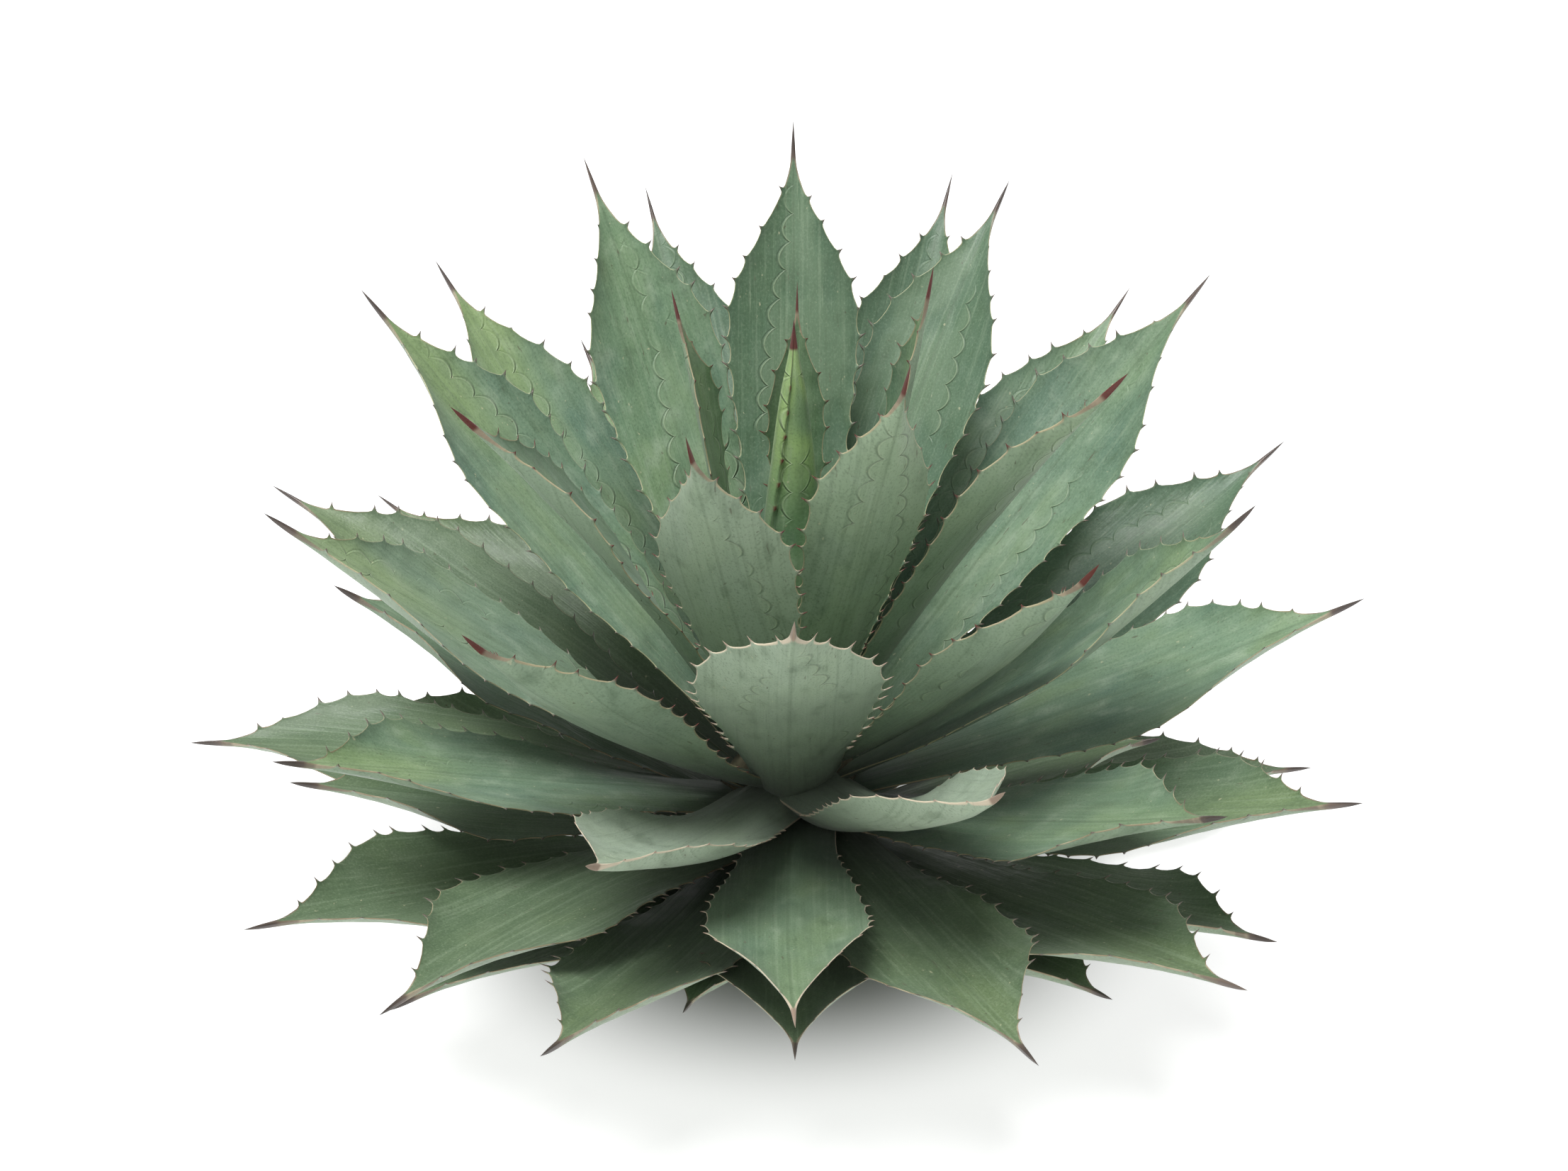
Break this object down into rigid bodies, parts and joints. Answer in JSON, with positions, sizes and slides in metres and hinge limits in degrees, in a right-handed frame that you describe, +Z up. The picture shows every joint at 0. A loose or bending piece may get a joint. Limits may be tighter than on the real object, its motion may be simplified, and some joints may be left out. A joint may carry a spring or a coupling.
{
  "type": "agave rosette",
  "caption": "Open rosette of broad, fleshy, toothed leaves with slender end spines round a pointed bud, on a short stem cut flat underneath.",
  "frame": {"origin": "middle of the stem's flat cut face, on the plant's axis", "axes": "+Z up along the plant's axis, -Y towards the side seen in the picture"},
  "size_m": [0.7889, 0.8661, 0.4908],
  "materials": {
    "leaf": "matt waxy living leaf",
    "bud": "smooth young leaf",
    "stem": "rough fibrous"
  },
  "bodies": {
    "root": {"stem": "stem", "bud": "bud", "leaf_01": "leaf", "leaf_02": "leaf", "leaf_03": "leaf", "leaf_04": "leaf", "leaf_05": "leaf", "leaf_06": "leaf", "leaf_07": "leaf", "leaf_08": "leaf", "leaf_09": "leaf", "leaf_10": "leaf", "leaf_11": "leaf", "leaf_12": "leaf", "leaf_13": "leaf", "leaf_14": "leaf", "leaf_15": "leaf", "leaf_16": "leaf", "leaf_17": "leaf", "leaf_18": "leaf", "leaf_19": "leaf", "leaf_20": "leaf", "leaf_21": "leaf", "leaf_22": "leaf", "leaf_23": "leaf", "leaf_24": "leaf", "leaf_25": "leaf", "leaf_26": "leaf", "leaf_27": "leaf", "leaf_28": "leaf", "leaf_29": "leaf", "leaf_30": "leaf", "leaf_31": "leaf", "leaf_32": "leaf", "leaf_33": "leaf", "leaf_34": "leaf", "leaf_35": "leaf", "leaf_36": "leaf", "leaf_37": "leaf", "leaf_38": "leaf", "leaf_39": "leaf", "leaf_40": "leaf", "leaf_41": "leaf", "leaf_42": "leaf", "leaf_43": "leaf", "leaf_44": "leaf", "leaf_45": "leaf", "leaf_46": "leaf", "leaf_47": "leaf", "leaf_48": "leaf", "leaf_49": "leaf", "leaf_50": "leaf", "leaf_51": "leaf", "leaf_52": "leaf", "leaf_53": "leaf", "leaf_54": "leaf"}
  },
  "joints": []
}
